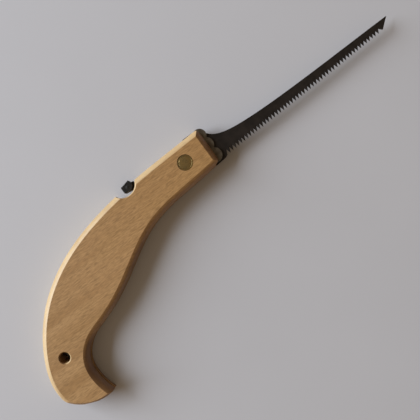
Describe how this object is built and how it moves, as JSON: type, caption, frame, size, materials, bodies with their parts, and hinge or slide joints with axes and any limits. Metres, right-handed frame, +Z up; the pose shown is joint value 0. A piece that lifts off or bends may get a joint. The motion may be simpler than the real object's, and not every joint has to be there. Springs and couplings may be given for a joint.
{
  "type": "folding pruning saw",
  "caption": "Folding pruning saw with a curved beech handle, brass pivot, scalloped steel bolster, black pull-stroke blade and a sprung thumb lever that frees the lock.",
  "frame": {"origin": "on the blade's pivot axis, at the plane of the handle's lower flat face, on which the saw rests", "axes": "+X along the open blade to its tip, +Y to the handle's back, where the thumb lever is, +Z up along the pivot axis"},
  "size_m": [0.405, 0.1334, 0.022],
  "materials": {
    "beech": "planed and oiled beech",
    "beech_core": "planed beech middle layer",
    "dowel_wood": "plain hardwood dowel",
    "bolster_steel": "tumbled grey steel plate",
    "blade_steel": "satin black baked coating on spring steel",
    "brass": "turned and brushed brass",
    "bronze": "plain bronze",
    "pin_steel": "ground steel pin",
    "spring_steel": "blued spring steel",
    "black_steel": "black oxide on steel",
    "screw_steel": "plain steel wood screw"
  },
  "bodies": {
    "handle": {"handle_upper_scale": "beech", "handle_lower_scale": "beech", "handle_spine": "beech_core", "handle_dowels": "dowel_wood", "upper_liner": "bolster_steel", "lower_liner": "bolster_steel", "upper_liner_screws": "screw_steel", "lower_liner_screws": "screw_steel", "pivot_bolt": "brass", "pivot_barrel_nut": "brass", "pivot_bush": "bronze", "upper_washer": "bronze", "lower_washer": "bronze", "blade_stop_pin": "pin_steel", "lock_spring": "spring_steel", "lock_spring_pins": "pin_steel", "lock_lever_pin": "pin_steel"},
    "blade": {"blade": "blade_steel"},
    "lever": {"lock_lever": "black_steel", "thumb_pad": "black_steel", "thumb_pad_rivet": "black_steel"}
  },
  "joints": [
    {"name": "blade_fold", "type": "hinge", "parent": "handle", "child": "blade", "pos_m": [0, 0, 0.011], "axis": [0, 0, 1], "range_deg": [-153, 0], "deforming": ["lock_spring"]},
    {"name": "lock_press", "type": "hinge", "parent": "handle", "child": "lever", "pos_m": [-0.025, 0.0093, 0.011], "axis": [0, 0, 1], "range_deg": [0, 5.5], "stiffness_Nm_per_rad": 1.8, "springref_deg": -6.3, "deforming": ["lock_spring"]}
  ]
}
